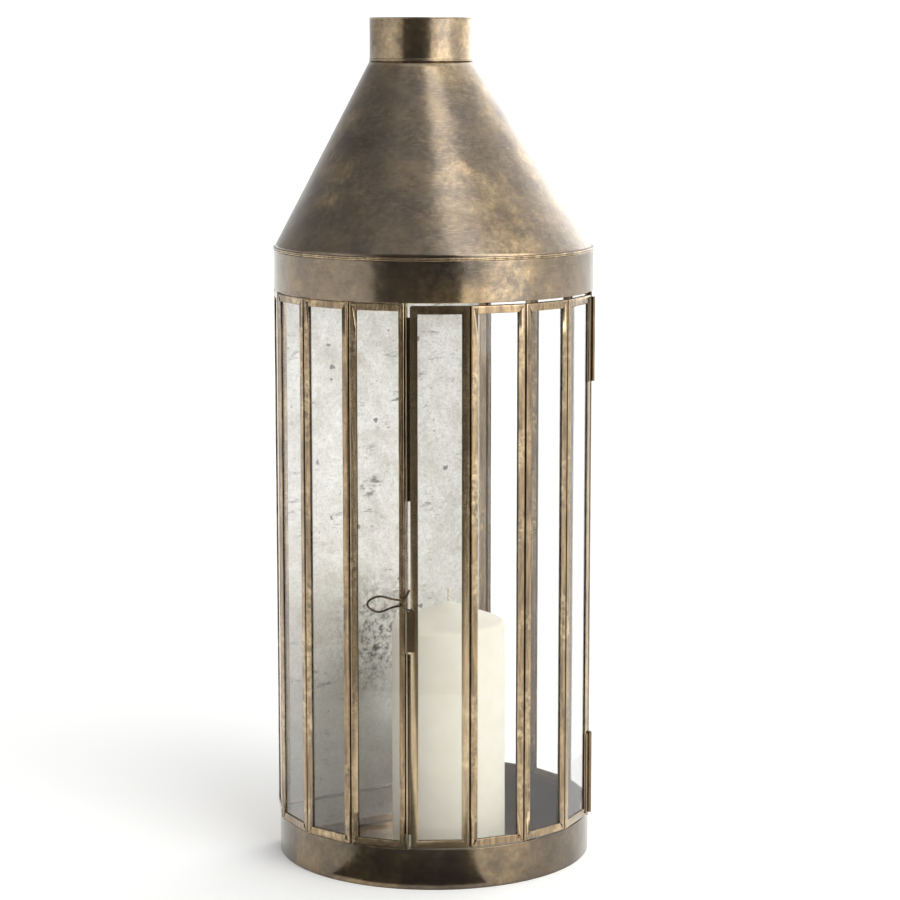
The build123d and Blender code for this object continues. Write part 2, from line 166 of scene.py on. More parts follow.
def patinated_sheet(name, bare):
    """Brass sheet, blackened with liver of sulphur, rubbed back by hand and waxed.

    The eye gets grey-brown clouds as broad as a hand, tan brass where the cloth went
    through, a fine mottle in both, and a satin sheen that mirrors the room in broad bands.
    The lower bare is, the more of the black is left."""
    look, tree = material(name)
    place = add(tree, "ShaderNodeTexCoord").outputs["Object"]
    broad = spots(tree, place, 70, 0.44, 0.64, detail=4.0, rough=0.55, bend=0.5)
    patch = spots(tree, place, 26, 0.34, 0.70, detail=9.0, rough=0.66, bend=0.4, turn=3.0)
    mottle = spots(tree, place, 3.6, 0.33, 0.70, detail=6.0, rough=0.72, turn=5.0)
    reach = add(tree, "ShaderNodeMath", {0: broad, 1: 0.16}, operation="ADD").outputs[0]
    rubbed = add(tree, "ShaderNodeMath", {0: patch, 1: reach}, operation="MULTIPLY").outputs[0]
    stain = spots(tree, place, 30, 0.42, 0.68, detail=7.0, turn=9.0)
    umber = layer(tree, linear("#685e53"), linear("#7a6f63"), mottle)
    umber = layer(tree, umber, linear("#8b7b66"), stain)
    brass = layer(tree, linear("#b3966f"), linear("#dcc297"), mottle)
    colour = layer(tree, umber, brass, rubbed)
    speck = spots(tree, place, 1.5, 0.68, 0.74, detail=2.0, turn=12.0)
    colour = layer(tree, colour, linear("#2e2620"), speck, 0.75)
    smoke = spots(tree, place, 46, 0.52, 0.70, detail=6.0, rough=0.65, bend=0.4, turn=17.0)
    colour = layer(tree, colour, linear("#564a40"), smoke, 0.5)
    wiped = add(tree, "ShaderNodeMapping", {"Vector": place, "Scale": (1.0, 1.0, 9.0)}).outputs["Vector"]
    hair = spots(tree, wiped, 7.0, 0.52, 0.66, detail=6.0, rough=0.7, turn=21.0)
    colour = layer(tree, colour, linear("#b7a68e"), hair, 0.35)
    # Painted shade: creases and tight corners go near black. Part of this is the dark that polish leaves
    # there, and part is shade painted in.
    colour = layer(tree, colour, linear("#1c1612"), grime_and_crease_shade(tree, 5), 0.75)
    colour = add(tree, "ShaderNodeMix", {0: 1.0 - bare, 6: colour, 7: linear("#2a231d")},
                 data_type="RGBA").outputs[2]
    dull = add(tree, "ShaderNodeMapRange", {
        "Value": rubbed, "To Min": 0.20, "To Max": 0.15}).outputs["Result"]
    dull = add(tree, "ShaderNodeMath", {0: mottle, 1: 0.06, 2: dull}, operation="MULTIPLY_ADD").outputs[0]
    drawn = add(tree, "ShaderNodeMapping", {"Vector": place, "Scale": (1.0, 1.0, 7.0)}).outputs["Vector"]
    grain = add(tree, "ShaderNodeTexNoise", {"Vector": drawn, "Scale": per(3.0), "Detail": 6.0})
    dents = add(tree, "ShaderNodeTexNoise", {"Vector": place, "Scale": per(24.0), "Detail": 2.0})
    low = add(tree, "ShaderNodeBump", {
        "Height": dents.outputs["Fac"], "Strength": 0.8, "Distance": 0.8 * MM})
    fine = add(tree, "ShaderNodeBump", {
        "Height": grain.outputs["Fac"], "Strength": 0.22, "Distance": 0.10 * MM, "Normal": low.outputs[0]})
    return finish(look, add(tree, "ShaderNodeBsdfPrincipled", {
        "Base Color": colour, "Metallic": 0.94, "Roughness": dull, "Coat Weight": 0.5,
        "Coat Roughness": 0.12, "Normal": fine.outputs[0]}))


def channel_brass(name, dark, middle, light, wear):
    """Drawn brass channel, antiqued and wiped: brown flats with a lengthwise grain, tan where
    a cloth and fingers have worn its edges, and black in the corners, partly flux that has stayed there and
    partly painted shade."""
    look, tree = material(name)
    place = add(tree, "ShaderNodeTexCoord").outputs["Object"]
    along = add(tree, "ShaderNodeMapping", {"Vector": place, "Scale": (1.0, 1.0, 0.10)}).outputs["Vector"]
    streak = spots(tree, along, 3.0, 0.32, 0.70, detail=6.0, rough=0.62)
    cloud = spots(tree, place, 38, 0.40, 0.66, detail=6.0, turn=2.0)
    fine = spots(tree, place, 3.4, 0.36, 0.74, detail=5.0, turn=4.0)
    speck = spots(tree, place, 1.7, 0.66, 0.74, detail=2.0, turn=7.0)
    sharp = add(tree, "ShaderNodeNewGeometry").outputs["Pointiness"]
    edge = add(tree, "ShaderNodeMapRange", {
        "Value": sharp, "From Min": 0.52, "From Max": 0.60, "To Max": wear}).outputs["Result"]
    colour = layer(tree, linear(dark), linear(middle), streak)
    colour = layer(tree, colour, linear(light), cloud, fine)
    colour = layer(tree, colour, linear("#2a221b"), speck, 0.6)
    colour = layer(tree, colour, linear(light), edge)
    # Painted shade: corners and creases go near black. Part of this is flux left there, and part is shade
    # painted in.
    colour = layer(tree, colour, linear("#120d0a"), grime_and_crease_shade(tree, 3), 0.9)
    dull = add(tree, "ShaderNodeMapRange", {
        "Value": streak, "To Min": 0.27, "To Max": 0.18}).outputs["Result"]
    bump = add(tree, "ShaderNodeBump", {"Height": streak, "Strength": 0.3, "Distance": 0.15 * MM})
    return finish(look, add(tree, "ShaderNodeBsdfPrincipled", {
        "Base Color": colour, "Metallic": 0.94, "Roughness": dull, "Coat Weight": 0.6,
        "Coat Roughness": 0.15, "Normal": bump.outputs[0]}))


def clear_glass():
    """Float glass, 2 mm, cut and wiped by hand: clear, with a very faint ripple and veil.
    Shadow rays go straight through, as most light does through so thin a pane."""
    look, tree = material("clear_float_glass")
    place = add(tree, "ShaderNodeTexCoord").outputs["Object"]
    ripple = add(tree, "ShaderNodeTexNoise", {"Vector": place, "Scale": per(40), "Detail": 1.0})
    bump = add(tree, "ShaderNodeBump", {
        "Height": ripple.outputs["Fac"], "Strength": 0.12, "Distance": 0.4 * MM})
    smear = spots(tree, place, 18, 0.35, 0.8, detail=6.0)
    veil = add(tree, "ShaderNodeMapRange", {"Value": smear, "To Min": 0.0, "To Max": 0.06}).outputs["Result"]
    shine = add(tree, "ShaderNodeBsdfPrincipled", {
        "Base Color": (1, 1, 1, 1), "Roughness": veil, "IOR": 1.5, "Transmission Weight": 1.0,
        "Normal": bump.outputs[0]})
    clear = add(tree, "ShaderNodeBsdfTransparent")
    path = add(tree, "ShaderNodeLightPath")
    return finish(look, add(tree, "ShaderNodeMixShader", {
        0: path.outputs["Is Shadow Ray"], 1: shine.outputs[0], 2: clear.outputs[0]}))


DARKENING_TOP, DARKENING_FOOT = 165 * MM, 85 * MM         # the darkening thins out between these heights
DARKENING_RAGGED = 100 * MM                          # how far its edge may stray up and down
SPOILED_PLACE = (-11 * MM, 62 * MM, 142 * MM)   # middle of the badly spoiled patch
SPOILED_EDGE, SPOILED_CORE = 45 * MM, 8 * MM    # radii where it starts and where it is full


def foot_darkening(tree, place):
    """Share of the silver that is darker, up to a ragged line above the foot."""
    height = add(tree, "ShaderNodeSeparateXYZ", {"Vector": place}).outputs["Z"]
    edge = add(tree, "ShaderNodeTexNoise", {"Vector": place, "Scale": per(30), "Detail": 7.0}).outputs["Fac"]
    stray = add(tree, "ShaderNodeMath", {0: edge, 1: 0.5}, operation="SUBTRACT").outputs[0]
    level = add(tree, "ShaderNodeMath", {0: stray, 1: DARKENING_RAGGED, 2: height},
                operation="MULTIPLY_ADD").outputs[0]
    return add(tree, "ShaderNodeMapRange", {
        "Value": level, "From Min": DARKENING_TOP, "From Max": DARKENING_FOOT},
        interpolation_type="SMOOTHSTEP").outputs["Result"]


def eaten_holes(tree, place):
    """Ragged round holes in the silver, in about half the places where one could be."""
    stirred = add(tree, "ShaderNodeTexNoise", {"Vector": place, "Scale": per(4), "Detail": 4.0})
    ragged = add(tree, "ShaderNodeMix", {0: 0.004, 6: place, 7: stirred.outputs["Color"]},
                 data_type="RGBA", blend_type="ADD").outputs[2]
    cells = add(tree, "ShaderNodeTexVoronoi", {"Vector": ragged, "Scale": per(19)})
    chosen = add(tree, "ShaderNodeSeparateColor", {"Color": cells.outputs["Color"]}).outputs
    width = add(tree, "ShaderNodeMapRange", {"Value": chosen["Green"], "To Min": 0.06, "To Max": 0.17})
    inside = add(tree, "ShaderNodeMath", {0: cells.outputs["Distance"], 1: width.outputs[0]},
                 operation="LESS_THAN").outputs[0]
    picked = add(tree, "ShaderNodeMath", {0: chosen["Red"], 1: 0.50}, operation="GREATER_THAN").outputs[0]
    return add(tree, "ShaderNodeMath", {0: inside, 1: picked}, operation="MULTIPLY").outputs[0]


def spoiled_patch(tree, place):
    """Share that grows towards the one place where most of the silver has gone."""
    aside = add(tree, "ShaderNodeVectorMath", {0: place, 1: SPOILED_PLACE}, operation="SUBTRACT")
    tall = add(tree, "ShaderNodeMapping", {"Vector": aside.outputs[0], "Scale": (1.0, 0.0, 0.8)})
    reach = add(tree, "ShaderNodeVectorMath", {0: tall.outputs[0]}, operation="LENGTH").outputs["Value"]
    return add(tree, "ShaderNodeMapRange", {
        "Value": reach, "From Min": SPOILED_EDGE, "From Max": SPOILED_CORE}).outputs["Result"]


def foxing(tree, place):
    """Share of the silver that is gone: the darkest of its pepper, blots, smears and holes."""
    grain = spots(tree, place, 2.0, 0.60, 0.66, detail=6.0, rough=0.7, turn=10.0)
    blots = spots(tree, place, 9.0, 0.60, 0.66, detail=9.0, rough=0.78, turn=8.0)
    level = add(tree, "ShaderNodeMapping", {"Vector": place, "Scale": (0.22, 1.0, 1.0)}).outputs["Vector"]
    smear = spots(tree, level, 5.0, 0.54, 0.64, detail=8.0, rough=0.75, turn=16.0)
    crumbs = spots(tree, place, 5.0, 0.46, 0.60, detail=9.0, rough=0.8, turn=24.0)
    where = spots(tree, place, 34, 0.50, 0.60, detail=4.0, turn=18.0)
    dense = add(tree, "ShaderNodeMapRange", {
        "Value": where, "To Min": 0.22, "To Max": 0.70}).outputs["Result"]
    faint = add(tree, "ShaderNodeMath", {0: where, 1: 0.75}, operation="MULTIPLY").outputs[0]
    black = 0.0
    for mask, strength in ((grain, dense), (blots, 0.70), (smear, faint), (eaten_holes(tree, place), 0.70),
                           (crumbs, spoiled_patch(tree, place))):
        share = add(tree, "ShaderNodeMath", {0: mask, 1: strength}, operation="MULTIPLY").outputs[0]
        black = add(tree, "ShaderNodeMath", {0: black, 1: share}, operation="MAXIMUM").outputs[0]
    return black


def foxed_mirror():
    """Mirror silvered by hand and aged with acid: a soft pale grey shine, clouded all over,
    peppered with black foxing, darkest low down, up to a ragged line, and
    badly spoiled in one patch in its lower third."""
    look, tree = material("foxed_antique_mirror")
    place = add(tree, "ShaderNodeTexCoord").outputs["Object"]
    cloud = spots(tree, place, 24, 0.38, 0.70, detail=9.0, rough=0.72, bend=0.5)
    fine = spots(tree, place, 3.2, 0.36, 0.72, detail=8.0, rough=0.78, turn=2.0)
    crisp = spots(tree, place, 1.3, 0.40, 0.70, detail=3.0, rough=0.6, turn=14.0)
    tea = spots(tree, place, 40, 0.55, 0.70, detail=6.0, turn=6.0)
    black = foxing(tree, place)
    colour = layer(tree, linear("#f8f8f3"), linear("#dcdad0"), cloud)
    colour = layer(tree, colour, linear("#a8a59c"), fine, 0.36)
    colour = layer(tree, colour, linear("#8f8c85"), crisp, 0.30)
    colour = layer(tree, colour, linear("#b3a182"), tea, 0.35)
    # Darker grey towards the foot, up to a ragged line.
    colour = layer(tree, colour, linear("#9c9a95"), foot_darkening(tree, place), 0.55)
    colour = layer(tree, colour, linear("#37332e"), black)
    dull = add(tree, "ShaderNodeMapRange", {"Value": cloud, "To Min": 0.30, "To Max": 0.46}).outputs["Result"]
    shine = add(tree, "ShaderNodeMath", {0: black, 1: -0.5, 2: 0.72}, operation="MULTIPLY_ADD").outputs[0]
    return finish(look, add(tree, "ShaderNodeBsdfPrincipled", {
        "Base Color": colour, "Metallic": shine, "Roughness": dull, "Coat Weight": 0.25,
        "Coat Roughness": 0.04}))


def ivory_wax():
    """Poured paraffin and stearin wax: ivory, waxy and soft. Light goes a little way into its
    skin, and a faint glow stands for the light that a thick body of wax scatters back."""
    look, tree = material("poured_ivory_wax")
    place = add(tree, "ShaderNodeTexCoord").outputs["Object"]
    bloom = spots(tree, place, 22, 0.35, 0.75, detail=5.0)
    skin = add(tree, "ShaderNodeTexNoise", {"Vector": place, "Scale": per(6), "Detail": 4.0}).outputs["Fac"]
    dull = add(tree, "ShaderNodeMapRange", {"Value": bloom, "To Min": 0.42, "To Max": 0.56}).outputs["Result"]
    bump = add(tree, "ShaderNodeBump", {"Height": skin, "Strength": 0.15, "Distance": 0.3 * MM})
    return finish(look, add(tree, "ShaderNodeBsdfPrincipled", {
        "Base Color": layer(tree, linear("#ebe8da"), linear("#e5e1cf"), bloom), "Roughness": dull,
        "IOR": 1.44, "Subsurface Weight": 0.45, "Subsurface Radius": (1.0, 0.8, 0.45),
        "Subsurface Scale": 8 * MM, "Normal": bump.outputs[0],
        "Emission Color": linear("#fff6dc"), "Emission Strength": 0.10}))


def cotton_braid():
    """Braided cotton wick, dipped in wax: off-white, matt, its strands drawn by a slanting rib, with painted
    shade in the grooves between them.
    """
    look, tree = material("waxed_cotton_braid")
    place = add(tree, "ShaderNodeTexCoord").outputs["Object"]
    rib = add(tree, "ShaderNodeTexWave", {"Vector": place, "Scale": per(1.6) / 3, "Distortion": 1.5},
              bands_direction="DIAGONAL").outputs["Fac"]
    bump = add(tree, "ShaderNodeBump", {"Height": rib, "Strength": 0.6, "Distance": 0.2 * MM})
    # Painted shade: the colour is darker in the rib's grooves and lighter on its crests.
    return finish(look, add(tree, "ShaderNodeBsdfPrincipled", {
        "Base Color": layer(tree, linear("#d9d2bd"), linear("#f2eddd"), rib), "Roughness": 0.85,
        "Normal": bump.outputs[0]}))


def soft_solder():
    """Tin solder, flowed with an iron and toned with the brass: rounded, greyish tan and satin."""
    look, tree = material("toned_soft_solder")
    place = add(tree, "ShaderNodeTexCoord").outputs["Object"]
    tone = spots(tree, place, 5, 0.35, 0.7)
    return finish(look, add(tree, "ShaderNodeBsdfPrincipled", {
        "Base Color": layer(tree, linear("#4a3f33"), linear("#a58f6b"), tone), "Metallic": 0.9,
        "Roughness": 0.33}))


SHEET = patinated_sheet("patinated_brass_sheet", 1.0)
FOOT_SHEET = patinated_sheet("darker_brass_sheet", 0.6)
CHANNEL = channel_brass("wiped_brass_channel", "#6a5a48", "#ad936e", "#e2caa2", 0.5)
FITTINGS = channel_brass("blackened_brass_fittings", "#2f2821", "#5c4a36", "#9c8159", 0.4)
GLASS = clear_glass()
MIRROR = foxed_mirror()
WAX = ivory_wax()
COTTON = cotton_braid()
SOLDER = soft_solder()


# ---------------------------------------------------------------- sheet-metal shells

FRONT_STEPS = 216
CORNER_STEPS = 6
BACK_STEPS = 48
CORNER_RADIUS = 2.5 * MM       # bend where the round front meets the flat back
FRONT_RADIUS = 112 * MM        # about that of the round front, to share out a ring's rear points


def rounded(corners, radii, steps=3):
    """Closed outline with each corner of a polygon softened, and a point held beside each bend."""
    points = []
    for number, (corner, radius) in enumerate(zip(corners, radii)):
        before = corners[number - 1] - corner
        after = corners[(number + 1) % len(corners)] - corner
        reach = min(radius, 0.45 * before.length, 0.45 * after.length)
        start = corner + before.normalized() * reach
        end = corner + after.normalized() * reach
        points.append(corner + before.normalized() * min(1.5 * reach, 0.49 * before.length))
        for step in range(steps + 1):
            t = step / steps
            points.append(start * (1 - t) ** 2 + corner * 2 * t * (1 - t) + end * t ** 2)
        points.append(corner + after.normalized() * min(1.5 * reach, 0.49 * after.length))
    return points


def divided(points, longest):
    """The same closed outline with no stretch over a length."""
    finer = []
    for number, point in enumerate(points):
        following = points[(number + 1) % len(points)]
        cuts = max(1, math.ceil((following - point).length / longest))
        finer += [point.lerp(following, step / cuts) for step in range(cuts)]
    return finer


def d_ring(radius, back, height, corner=CORNER_RADIUS):
    """Points round a D-shaped outline, whose count doesn't depend on its size."""
    centre = Vector((math.sqrt((radius - corner) ** 2 - (back - corner) ** 2), back - corner))
    sweep = math.atan2(centre.x, -centre.y)
    points = []
    for step in range(FRONT_STEPS + 1):
        angle = sweep * (2 * step / FRONT_STEPS - 1)
        points.append((radius * math.sin(angle), -radius * math.cos(angle)))
    for step in range(1, CORNER_STEPS + 1):
        angle = sweep + (math.pi - sweep) * step / CORNER_STEPS
        points.append((centre.x + corner * math.sin(angle), centre.y - corner * math.cos(angle)))
    for step in range(1, BACK_STEPS):
        points.append((centre.x * (1 - 2 * step / BACK_STEPS), back))
    for step in range(CORNER_STEPS, 0, -1):
        angle = sweep + (math.pi - sweep) * step / CORNER_STEPS
        points.append((-centre.x - corner * math.sin(angle), centre.y - corner * math.cos(angle)))
    return [Vector((x, y, height)) for x, y in points]


def circle_ring(radius, middle, height, half_angle):
    """Points round a circle that pair with those of a D-shaped ring."""
    foot = d_ring(1.0, -math.cos(half_angle), 0.0, CORNER_RADIUS / FRONT_RADIUS)
    rear = foot[FRONT_STEPS:] + foot[:1]
    lengths = [(b - a).length for a, b in zip(rear, rear[1:])]
    angles = [half_angle * (2 * step / FRONT_STEPS - 1) for step in range(FRONT_STEPS + 1)]
    gone = 0.0
    for length in lengths[:-1]:
        gone += length
        angles.append(half_angle + (2 * math.pi - 2 * half_angle) * gone / sum(lengths))
    return [Vector((radius * math.sin(a), middle - radius * math.cos(a), height)) for a in angles]


def dented(point, depth, size, turn=0.0):
    """A point of a sheet, pressed in a little at random, as hand work leaves it."""
    cloud = noise.noise(point / size + Vector((0, 0, turn)))
    inward = Vector((point.x, point.y, 0)).normalized()
    return point - inward * depth * (0.5 + 0.5 * cloud)


def loft(name, rings, look, closed=True):
    """Skin over rings of points: closed joins the last ring to the first."""
    shape = bmesh.new()
    rows = [[shape.verts.new(point) for point in ring] for ring in rings]
    for lower, upper in zip(rows, rows[1:] + rows[:1] if closed else rows[1:]):
        for number in range(len(lower)):
            following = (number + 1) % len(lower)
            shape.faces.new((lower[number], lower[following], upper[following], upper[number]))
    mesh = bpy.data.meshes.new(name)
    bmesh.ops.recalc_face_normals(shape, faces=shape.faces)
    shape.to_mesh(mesh)
    shape.free()
    return new_piece(name, mesh, look)


def wall_loop(name, profile, radius, back, look, size, turn=0.0):
    """A bent strip round the D-shaped outline. The profile runs (inset, height)."""
    rings = []
    for inset, height in profile:
        ring = d_ring(radius - inset, back - inset, height, max(TIGHTEST_BEND, CORNER_RADIUS - inset))
        rings.append([dented(point, DENT_DEPTH, size, turn) for point in ring])
    return loft(name, rings, look)


SHEET_WALL = 1.0 * MM
FLANGE_WIDTH = 7.0 * MM
EDGE_SOFT = 0.45 * MM          # rounding of a cut edge
TIGHTEST_BEND = 0.3 * MM       # of the inner side of a back corner
DENT_DEPTH = 0.25 * MM
BASE_DENT = 34 * MM            # how broad the base's dents are, and the others' likewise
BAND_DENT = 30 * MM
CONE_DENT = 38 * MM
COLLAR_DENT = 30 * MM
PROFILE_STEP = 4 * MM          # longest flat stretch of a strip's section

SEAM_PROUD = 0.5 * MM          # the fold over the cone's foot, out from the band
SEAM_HALF = 1.1 * MM           # half its height
SEAM_LAP = 0.12 * MM           # half the crease between its two layers
SEAM_CREASE = 0.25 * MM        # how deep that crease runs
SEAM_WAVE = 0.22 * MM          # how far hand folding lifts and drops it

CONE_STEPS = 36
CONE_PRESS = 0.5 * MM          # how far its flat sides may be pressed in, half way up
COLLAR_STEPS = 160
COLLAR_BEAD = 0.8 * MM


def polygon(*pairs):
    """Corners as vectors."""
    return [Vector(pair) for pair in pairs]


def make_base():
    """Base: a standing strip with its top edge turned in."""
    low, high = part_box("base_ring")
    radius, back = -low.y, high.y
    top, bottom = high.z, low.z
    corners = polygon((0, bottom), (0, top), (FLANGE_WIDTH, top), (FLANGE_WIDTH, top - SHEET_WALL),
                      (SHEET_WALL, top - SHEET_WALL), (SHEET_WALL, bottom))
    profile = divided(rounded(corners, [EDGE_SOFT] * len(corners)), PROFILE_STEP)
    piece = wall_loop("base_ring_sheet", profile, radius, back, FOOT_SHEET, BASE_DENT)
    fit(piece, "casing", "aged_brass_sheet", "base_ring")


def make_band():
    """Band under the roof: a strip with its bottom edge turned in. Gives its radius, back and top."""
    low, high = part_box("roof_band")
    radius, back = -low.y, high.y
    corners = polygon((0, high.z - SEAM_HALF), (0, low.z), (FLANGE_WIDTH, low.z),
                      (FLANGE_WIDTH, low.z + SHEET_WALL), (SHEET_WALL, low.z + SHEET_WALL),
                      (SHEET_WALL, high.z - SEAM_HALF))
    profile = divided(rounded(corners, [EDGE_SOFT] * len(corners)), PROFILE_STEP)
    piece = wall_loop("roof_band_sheet", profile, radius, back, SHEET, BAND_DENT, turn=4.0)
    fit(piece, "casing", "aged_brass_sheet", "roof_band")
    return radius, back, high.z


def make_cone(radius, back, foot):
    """Roof cone, from the band's D-shaped outline to the collar's circle."""
    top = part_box("roof_cone")[1].z
    low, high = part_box("chimney_collar")
    middle = (low.y + high.y) / 2
    head_radius = (high.x - low.x) / 2 - SEAM_PROUD
    half_angle = math.pi / 2 + math.asin(back / radius)
    rings = []
    for inset, order in ((0.0, range(CONE_STEPS + 1)), (SHEET_WALL, range(CONE_STEPS, -1, -1))):
        base = d_ring(radius - inset, back - inset, foot, CORNER_RADIUS - inset)
        head = circle_ring(head_radius - inset, middle, top, half_angle)
        for step in order:
            share = step / CONE_STEPS
            press = CONE_PRESS * math.sin(math.pi * share)
            rings.append([dented(a.lerp(b, share), press, CONE_DENT, 8.0) for a, b in zip(base, head)])
    fit(loft("roof_cone_sheet", rings, SHEET), "casing", "aged_brass_sheet", "roof_cone")


def make_seam(radius, back, foot):
    """Seam folded over the cone's foot, in two layers that hand work has left wavy."""
    corners = polygon((-SEAM_PROUD, foot + SEAM_LAP), (-SEAM_PROUD, foot + SEAM_HALF),
                      (SHEET_WALL, foot + SEAM_HALF), (SHEET_WALL, foot - SEAM_HALF),
                      (-0.7 * SEAM_PROUD, foot - SEAM_HALF), (-0.8 * SEAM_PROUD, foot - SEAM_LAP),
                      (SEAM_CREASE, foot))
    rings = []
    for inset, height in rounded(corners, [0.5 * MM] * len(corners)):
        ring = []
        for point in d_ring(radius - inset, back - inset, height, CORNER_RADIUS - inset):
            lift = noise.noise(point / (22 * MM)) + 0.5 * noise.noise(point / (7 * MM) + Vector((5, 0, 0)))
            ring.append(dented(point, 0.2 * MM, 12 * MM, 3.0) + Vector((0, 0, SEAM_WAVE * lift)))
        rings.append(ring)
    fit(loft("roof_seam_fold", rings, CHANNEL), "casing", "brass_channel")


def make_collar():
    """Chimney collar: a tube with two soldered beads round its foot and a turned rim."""
    low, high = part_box("chimney_collar")
    middle = (low.y + high.y) / 2
    outer = (high.x - low.x) / 2 - SEAM_PROUD
    inner = outer - SHEET_WALL
    foot, top, proud, bead = low.z, high.z, SEAM_PROUD, COLLAR_BEAD
    path = polygon((outer + proud, foot), (outer + proud, foot + bead), (outer, foot + 1.05 * bead),
                   (outer + 0.8 * proud, foot + 1.1 * bead), (outer + 0.8 * proud, foot + 2 * bead),
                   (outer, foot + 2.2 * bead), (outer, top - 1.2 * bead), (outer + 0.5 * proud, top - bead),
                   (outer + 0.5 * proud, top), (inner, top), (inner, foot))
    rings = []
    for reach, height in divided(rounded(path, [0.35 * MM] * len(path)), 3 * MM):
        ring = []
        for step in range(COLLAR_STEPS):
            angle = 2 * math.pi * step / COLLAR_STEPS
            around = Vector((math.sin(angle), -math.cos(angle), 0))
            cloud = noise.noise(Vector((around.x, around.y, height / COLLAR_DENT)) * 2)
            press = DENT_DEPTH * (0.5 + 0.5 * cloud)
            ring.append(around * (reach - press) + Vector((0, middle, height)))
        rings.append(ring)
    fit(loft("chimney_collar_sheet", rings, SHEET), "casing", "aged_brass_sheet", "chimney_collar")


make_base()
band = make_band()
make_cone(*band)
make_seam(*band)
make_collar()


# ---------------------------------------------------------------- geometry node tools

def node_tree(name, inputs):
    """A geometry node tree with named inputs, its input node and its output node."""
    tree = bpy.data.node_groups.new(name, "GeometryNodeTree")
    tree.interface.new_socket("Geometry", in_out="INPUT", socket_type="NodeSocketGeometry")
    for label, kind in inputs.items():
        tree.interface.new_socket(label, in_out="INPUT", socket_type="NodeSocket" + kind)
    tree.interface.new_socket("Geometry", in_out="OUTPUT", socket_type="NodeSocketGeometry")
    start = tree.nodes.new("NodeGroupInput")
    end = tree.nodes.new("NodeGroupOutput")
    return tree, start.outputs, end.inputs


def captured(tree, geometry, label):
    """Keeps each point's place under a label, for use after the geometry is swept."""
    keep = tree.nodes.new("GeometryNodeCaptureAttribute")
    keep.capture_items.new("VECTOR", label)
    tree.links.new(geometry, keep.inputs[0])
    tree.links.new(add(tree, "GeometryNodeInputPosition").outputs[0], keep.inputs[1])
    return keep.outputs[0], keep.outputs[1]


def finished(tree, geometry, look, end):
    """Ends a tree in plain faces with their finish."""
    real = add(tree, "GeometryNodeRealizeInstances", {"Geometry": geometry})
    painted = add(tree, "GeometryNodeSetMaterial", {"Geometry": real.outputs[0], "Material": look})
    tree.links.new(painted.outputs[0], end["Geometry"])


def grow(name, tree, seed_mesh, values, place, look):
    """Runs a tree on a mesh and returns the plain mesh that it makes, in place."""
    source = bpy.data.objects.new(name + "_source", seed_mesh)
    bpy.context.scene.collection.objects.link(source)
    modifier = source.modifiers.new("grow", "NODES")
    modifier.node_group = tree
    codes = {item.name: item.identifier for item in tree.interface.items_tree if item.in_out == "INPUT"}
    for label, value in values.items():
        modifier[codes[label]] = value
    modifier[codes["Look"]] = look
    source.update_tag()
    view = bpy.context.evaluated_depsgraph_get()
    mesh = bpy.data.meshes.new_from_object(source.evaluated_get(view))
    bpy.data.objects.remove(source)
    mesh.name = name
    mesh.transform(place)
    close_up(mesh)
    return mesh


def line_mesh(name, lines, closed=False):
    """A mesh of bare edges along lines of points."""
    shape = bmesh.new()
    for line in lines:
        verts = [shape.verts.new(Vector(point)) for point in line]
        for first, second in zip(verts, verts[1:]):
            shape.edges.new((first, second))
        if closed:
            shape.edges.new((verts[-1], verts[0]))
    mesh = bpy.data.meshes.new(name)
    shape.to_mesh(mesh)
    shape.free()
    return mesh


def joined(name, meshes, look):
    """One piece from several meshes."""
    shape = bmesh.new()
    for mesh in meshes:
        shape.from_mesh(mesh)
    whole = bpy.data.meshes.new(name)
    shape.to_mesh(whole)
    shape.free()
    return new_piece(name, whole, look)


# ---------------------------------------------------------------- glazing frames

class Pane:
    """Measures of a pane's frame, in its own axes: X along, Y inwards and Z up."""

    def __init__(self, frame_node, glass_node):
        low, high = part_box(glass_node)
        middle = (low + high) / 2
        self.angle = math.atan2(middle.x, -middle.y)
        self.turn = Matrix.Rotation(self.angle, 4, "Z")
        back = self.turn.inverted()
        points = [back @ vert.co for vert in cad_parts[frame_node].data.vertices]
        centre = (back @ middle).x
        self.left = min(point.x for point in points)
        self.right = max(point.x for point in points)
        self.face = min(point.y for point in points)
        self.depth = max(point.y for point in points) - self.face
        self.bottom = min(point.z for point in points)
        self.top = max(point.z for point in points)
        self.left_bar = max(point.x for point in points if point.x < centre) - self.left
        self.right_bar = self.right - min(point.x for point in points if point.x > centre)
        self.rail = max(point.z for point in points if point.z < middle.z) - self.bottom

    def place(self, x, y, z):
        """A point in the pane's own axes, with y inwards from its face, put where it really is."""
        return self.turn @ Vector((x, self.face + y, z))


GLASS_GROOVE = 2.0 * MM        # slot in the channel that the glass slides into
GLASS_GRIP = 3.0 * MM          # how deep that slot is
FACE_SOFT = 0.9 * MM           # rounding of the two edges that are seen and handled
CUT_SOFT = 0.4 * MM            # and of the others


def channel_profile(depth, face):
    """Outline of the glazing channel, its width as a share of the bar: (share, depth)."""
    lip = (depth - GLASS_GROOVE) / 2
    slot = face - GLASS_GRIP
    corners = polygon((0, 0), (face, 0), (face, lip), (slot, lip), (slot, lip + GLASS_GROOVE),
                      (face, lip + GLASS_GROOVE), (face, depth), (0, depth))
    radii = [FACE_SOFT] * 2 + [CUT_SOFT] * 6
    return [(point.x / face, point.y, 0) for point in rounded(corners, radii, steps=4)]


